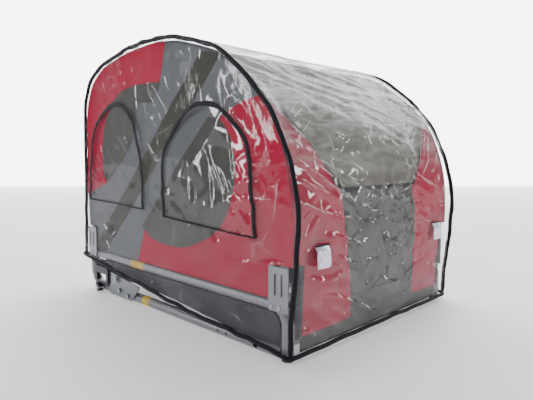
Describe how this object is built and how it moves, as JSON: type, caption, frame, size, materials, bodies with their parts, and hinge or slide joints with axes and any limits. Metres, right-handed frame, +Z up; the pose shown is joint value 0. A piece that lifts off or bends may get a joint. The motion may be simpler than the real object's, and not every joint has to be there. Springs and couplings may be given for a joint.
{
  "type": "pet bicycle trailer body with rain cover",
  "caption": "Folding pet trailer body: tube frame, two fold-down hoops, red and grey fabric cabin, clear fitted rain cover with roll-down windows.",
  "frame": {"origin": "on the ground, at the middle of the bounding box's base", "axes": "+X to the rear of the trailer, +Y to its right side, +Z up; -X is the towing end"},
  "size_m": [0.9114, 0.69, 0.7001],
  "materials": {
    "frame_tube": "satin silver paint",
    "bracket_metal": "satin",
    "steel": "zinc plated",
    "yellow_band": "matte",
    "black_plastic": "fine grain",
    "floor_plastic": "matte",
    "pad_fabric": "quilted",
    "dark_fabric": "coated weave",
    "mesh": "open mesh",
    "panel_fabric": "coated weave",
    "red_fabric": "coated weave",
    "grey_fabric": "coated weave",
    "clear_film": "clear soft film",
    "black_binding": "folded tape",
    "reflector": "reflective"
  },
  "bodies": {
    "trailer_frame": {"lower_rail_left": "frame_tube", "lower_rail_right": "frame_tube", "upper_rail_left": "frame_tube", "upper_rail_right": "frame_tube", "front_cross_tube": "frame_tube", "rear_cross_tube": "frame_tube", "axle_tube": "frame_tube", "post_plugs": "black_plastic", "rail_bands": "yellow_band", "tow_plate_left": "bracket_metal", "tow_plate_right": "bracket_metal", "tow_socket_left": "black_plastic", "tow_socket_right": "black_plastic", "hook_clips": "black_plastic", "tow_stubs": "steel", "tow_bolts": "steel", "hinge_brackets_left": "bracket_metal", "hinge_brackets_right": "bracket_metal", "hinge_pins_left": "steel", "hinge_pins_right": "steel", "bracket_rivets": "steel", "floor_board": "floor_plastic", "floor_pad": "pad_fabric", "tub_side_left": "dark_fabric", "tub_side_right": "dark_fabric", "tub_front": "dark_fabric", "tub_rear": "dark_fabric", "front_panel": "panel_fabric", "roof_panel": "grey_fabric", "rear_column_left": "red_fabric", "rear_column_right": "red_fabric", "rear_sill": "grey_fabric", "side_band_left": "red_fabric", "side_band_right": "red_fabric"},
    "hoop_left": {"hoop_tube_left": "frame_tube", "side_panel_left": "panel_fabric", "mesh_windows_left": "mesh"},
    "hoop_right": {"hoop_tube_right": "frame_tube", "side_panel_right": "panel_fabric", "mesh_windows_right": "mesh"},
    "rear_door": {"rear_door": "grey_fabric"},
    "pull_pin_left": {"pull_pin_left": "steel"},
    "pull_pin_right": {"pull_pin_right": "steel"},
    "rain_cover": {"cover_shell": "clear_film", "cover_side_left": "clear_film", "cover_side_right": "clear_film", "piping_left": "black_binding", "piping_right": "black_binding", "hem_binding": "black_binding", "reflector_tabs": "reflector"},
    "window_front_left": {"window_front_left": "clear_film", "window_front_tape_left": "black_binding"},
    "window_rear_left": {"window_rear_left": "clear_film", "window_rear_tape_left": "black_binding"},
    "window_front_right": {"window_front_right": "clear_film", "window_front_tape_right": "black_binding"},
    "window_rear_right": {"window_rear_right": "clear_film", "window_rear_tape_right": "black_binding"}
  },
  "joints": [
    {"name": "cover_lift", "type": "slide", "parent": "trailer_frame", "child": "rain_cover", "axis": [0, 0, 1], "range_m": [0, 0.75]},
    {"name": "fold_left", "type": "hinge", "parent": "trailer_frame", "child": "hoop_left", "pos_m": [0, -0.312, 0.146], "axis": [-1, 0, 0], "range_deg": [0, 90]},
    {"name": "fold_right", "type": "hinge", "parent": "trailer_frame", "child": "hoop_right", "pos_m": [0, 0.312, 0.172], "axis": [1, 0, 0], "range_deg": [0, 90]},
    {"name": "door_lift", "type": "hinge", "parent": "trailer_frame", "child": "rear_door", "pos_m": [0.399, 0, 0.3335], "axis": [0, 1, 0], "range_deg": [0, 80]},
    {"name": "pull_pin_left_pull", "type": "slide", "parent": "trailer_frame", "child": "pull_pin_left", "axis": [0, -1, 0], "range_m": [0, 0.012]},
    {"name": "pull_pin_right_pull", "type": "slide", "parent": "trailer_frame", "child": "pull_pin_right", "axis": [0, 1, 0], "range_m": [0, 0.012]},
    {"name": "window_front_left_open", "type": "hinge", "parent": "rain_cover", "child": "window_front_left", "pos_m": [-0.24, -0.33275, 0.273], "axis": [0.9994, 0, -0.034], "range_deg": [0, 150]},
    {"name": "window_rear_left_open", "type": "hinge", "parent": "rain_cover", "child": "window_rear_left", "pos_m": [0.17, -0.33275, 0.2495], "axis": [0.9987, 0, -0.0518], "range_deg": [0, 150]},
    {"name": "window_front_right_open", "type": "hinge", "parent": "rain_cover", "child": "window_front_right", "pos_m": [-0.24, 0.33275, 0.273], "axis": [-0.9994, 0, 0.034], "range_deg": [0, 150]},
    {"name": "window_rear_right_open", "type": "hinge", "parent": "rain_cover", "child": "window_rear_right", "pos_m": [0.17, 0.33275, 0.2495], "axis": [-0.9987, 0, 0.0518], "range_deg": [0, 150]}
  ]
}
